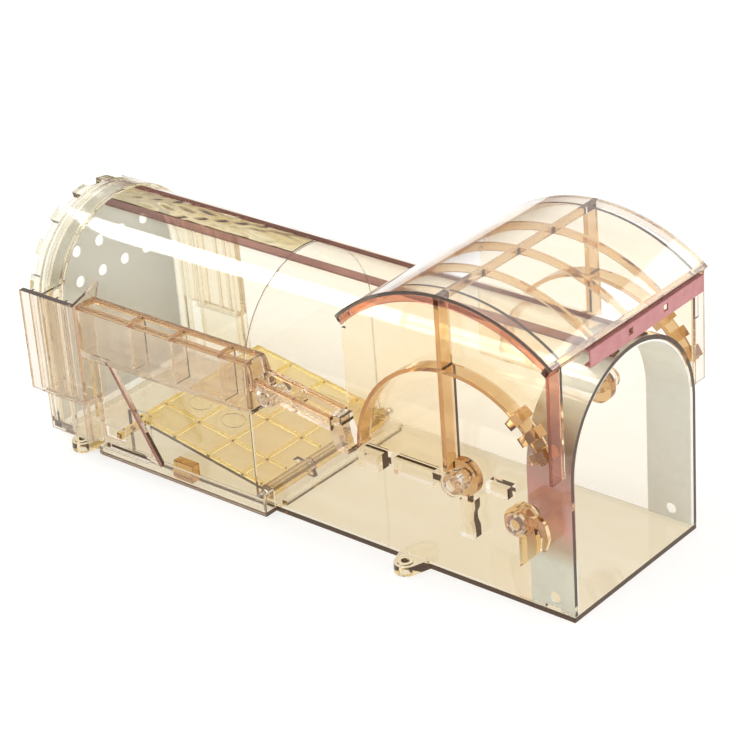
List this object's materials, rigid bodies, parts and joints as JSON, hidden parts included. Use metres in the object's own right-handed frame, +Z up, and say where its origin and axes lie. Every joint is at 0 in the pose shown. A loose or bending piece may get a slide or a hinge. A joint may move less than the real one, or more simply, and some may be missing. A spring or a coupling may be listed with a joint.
{
  "type": "live catch trap",
  "caption": "Clear tunnel-shaped live catch trap with a drop hood over its mouth, a treadle, a trip lever, a lock pawl and a pull-off rear cap.",
  "frame": {"origin": "on the underside of the base plate, under the middle of the tunnel", "axes": "+X along the tunnel towards its mouth, +Y across it away from the trip lever, +Z up"},
  "size_m": [0.3114, 0.1193, 0.14],
  "materials": {
    "clear_plastic": "glossy transparent moulded plastic with a light amber tint",
    "amber_plastic": "glossy transparent amber plastic in thicker sections",
    "steel": "satin galvanised sheet steel",
    "rose_metal": "satin rose-tinted metal strip",
    "pin_steel": "drawn steel rod"
  },
  "bodies": {
    "frame": {"base_plate": "clear_plastic", "tunnel_front": "clear_plastic", "tunnel_rear": "clear_plastic", "entrance_liner": "steel", "rear_guard_near": "clear_plastic", "rear_guard_far": "clear_plastic", "treadle_guard": "clear_plastic", "treadle_stop": "amber_plastic", "treadle_shaft": "pin_steel", "lever_pin": "amber_plastic", "hood_pin_near": "clear_plastic", "hood_pin_far": "clear_plastic", "pawl_pin": "clear_plastic"},
    "hood_body": {"hood": "clear_plastic", "hood_lip_strip": "rose_metal"},
    "cap_body": {"rear_cap": "amber_plastic", "rear_screen": "steel"},
    "lever_body": {"trip_lever": "clear_plastic"},
    "treadle_body": {"treadle": "clear_plastic"},
    "pawl_body": {"lock_pawl": "amber_plastic"}
  },
  "joints": [
    {"name": "hood_hinge", "type": "hinge", "parent": "frame", "child": "hood_body", "pos_m": [0.098, 0, 0.055], "axis": [0, 1, 0], "range_deg": [0, 90]},
    {"name": "treadle_hinge", "type": "hinge", "parent": "frame", "child": "treadle_body", "pos_m": [-0.021, 0, 0.0065], "axis": [0, -1, 0], "range_deg": [0, 8]},
    {"name": "lever_hinge", "type": "hinge", "parent": "frame", "child": "lever_body", "pos_m": [0, 0, 0.068], "axis": [0, -1, 0], "range_deg": [0, 6.29]},
    {"name": "pawl_hinge", "type": "hinge", "parent": "frame", "child": "pawl_body", "pos_m": [0.1305, 0, 0.047], "axis": [0, -1, 0], "range_deg": [0, 22]},
    {"name": "cap_slide", "type": "slide", "parent": "frame", "child": "cap_body", "axis": [-1, 0, 0], "range_m": [0, 0.02]}
  ],
  "couplings": [
    {"joint": "lever_hinge", "follows": "treadle_hinge", "ratio": 0.786}
  ]
}
